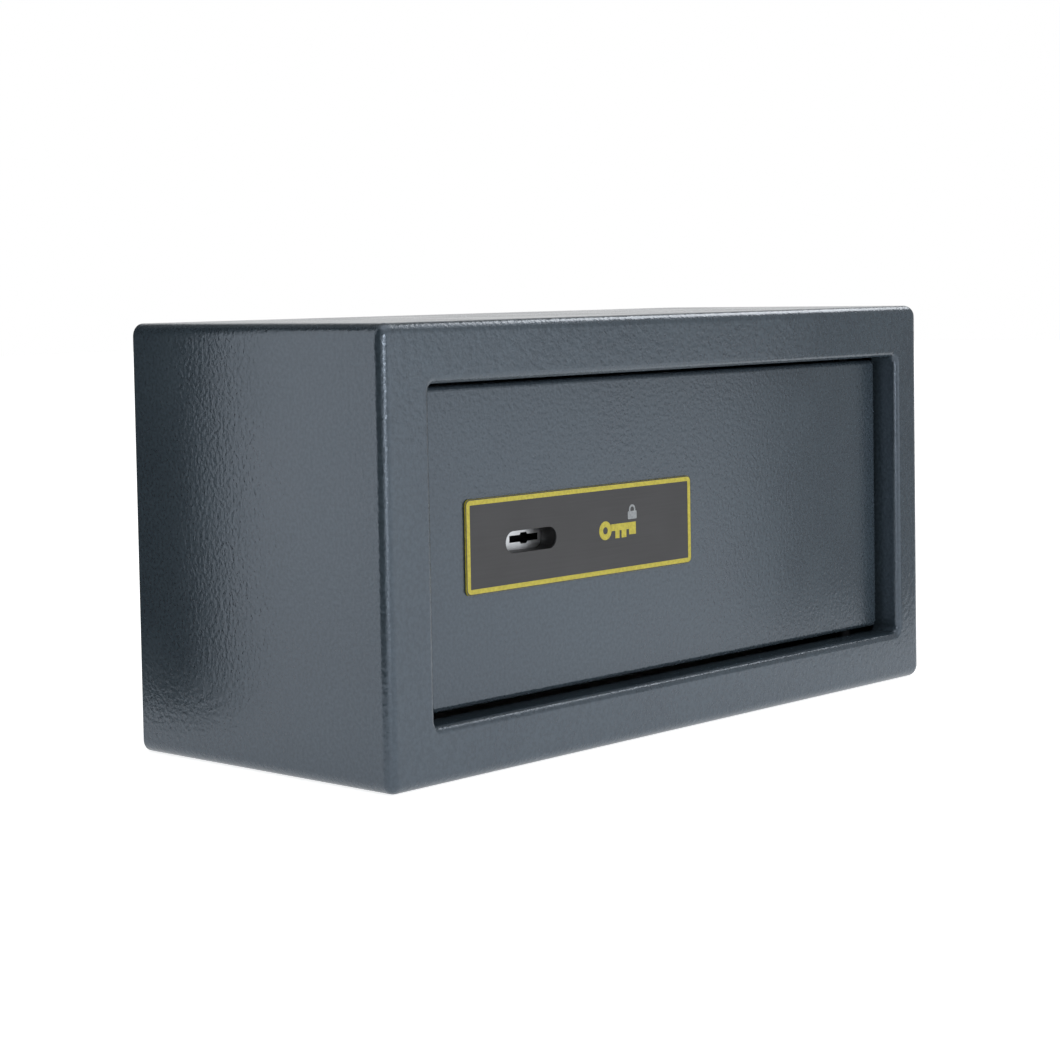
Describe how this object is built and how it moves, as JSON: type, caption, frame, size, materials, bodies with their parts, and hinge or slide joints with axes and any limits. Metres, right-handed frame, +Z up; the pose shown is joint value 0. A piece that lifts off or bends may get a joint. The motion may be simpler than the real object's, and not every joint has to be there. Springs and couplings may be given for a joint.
{
  "type": "in room safe",
  "caption": "Small rectangular steel room safe: recessed hinged door with a key lock that throws two round bolts behind the frame, anchor holes in floor and back.",
  "frame": {"origin": "middle of the base, at the underside", "axes": "+Z up, the door faces -Y, +X to the right of someone facing the door; the lock is at -X and the hinge at +X"},
  "size_m": [0.4, 0.165, 0.2],
  "materials": {
    "coat": "slate blue-grey powder coat, fine texture, semi-gloss",
    "label": "dark grey printed aluminium with a yellow border line",
    "nickel": "satin nickel plate",
    "black": "black moulded nylon",
    "zinc": "bright zinc-plated steel",
    "steel": "machined steel",
    "brass": "machined brass",
    "rubber": "moulded rubber",
    "felt": "needle felt"
  },
  "bodies": {
    "safe_body": {"front_frame": "coat", "lip_top": "coat", "lip_bottom": "coat", "lip_left": "coat", "lip_right": "coat", "top_panel": "coat", "left_panel": "coat", "right_panel": "coat", "floor_panel": "coat", "back_panel": "coat", "floor_mat": "felt", "floor_plug_left": "rubber", "floor_plug_right": "rubber", "wall_plug_left": "rubber", "wall_plug_right": "rubber", "hinge_plate_upper": "coat", "hinge_plate_lower": "coat", "hinge_bush_upper": "brass", "hinge_bush_lower": "brass", "keeper_strip": "coat"},
    "door": {"door_plate": "coat", "label_plate": "label", "key_guide": "black", "lock_face": "nickel", "lock_case": "zinc", "lock_spacer_1": "zinc", "lock_spacer_2": "zinc", "lock_screw_1": "steel", "lock_screw_2": "steel", "lever_pivot": "steel", "hinge_block_upper": "zinc", "hinge_block_lower": "zinc", "hinge_pin_upper": "steel", "hinge_pin_lower": "steel", "bolt_guide_upper": "zinc", "bolt_guide_lower": "zinc", "inner_cover": "coat", "cover_post_1": "zinc", "cover_post_2": "zinc", "cover_post_3": "zinc", "cover_post_4": "zinc", "cover_screw_1": "steel", "cover_screw_2": "steel", "cover_screw_3": "steel", "cover_screw_4": "steel"},
    "key_barrel": {"key_barrel": "nickel", "drive_cam": "steel", "cam_peg": "steel"},
    "bolt_work": {"lock_bolt": "steel", "bolt_stump": "steel", "bolt_bar": "zinc", "bar_rivet_upper": "steel", "bar_rivet_lower": "steel", "locking_bolt_upper": "nickel", "locking_bolt_lower": "nickel"},
    "lever_pack": {"lever_front": "brass", "lever_middle": "brass", "lever_rear": "brass"}
  },
  "joints": [
    {"name": "door_swing", "type": "hinge", "parent": "safe_body", "child": "door", "pos_m": [0.158, -0.0614, 0.1], "axis": [0, 0, 1], "range_deg": [0, 115]},
    {"name": "key_turn", "type": "hinge", "parent": "door", "child": "key_barrel", "pos_m": [-0.093, -0.058, 0.0995], "axis": [0, 1, 0], "range_deg": [0, 90]},
    {"name": "bolt_throw", "type": "slide", "parent": "door", "child": "bolt_work", "axis": [-1, 0, 0], "range_m": [0, 0.01414]},
    {"name": "lever_lift", "type": "hinge", "parent": "door", "child": "lever_pack", "pos_m": [-0.069, -0.057, 0.122], "axis": [0, 1, 0], "range_deg": [0, 3], "stiffness_Nm_per_rad": 0.2, "springref_deg": -5.73}
  ],
  "couplings": [
    {"joint": "key_turn", "follows": "bolt_throw", "rad_per_m": 111.07}
  ]
}
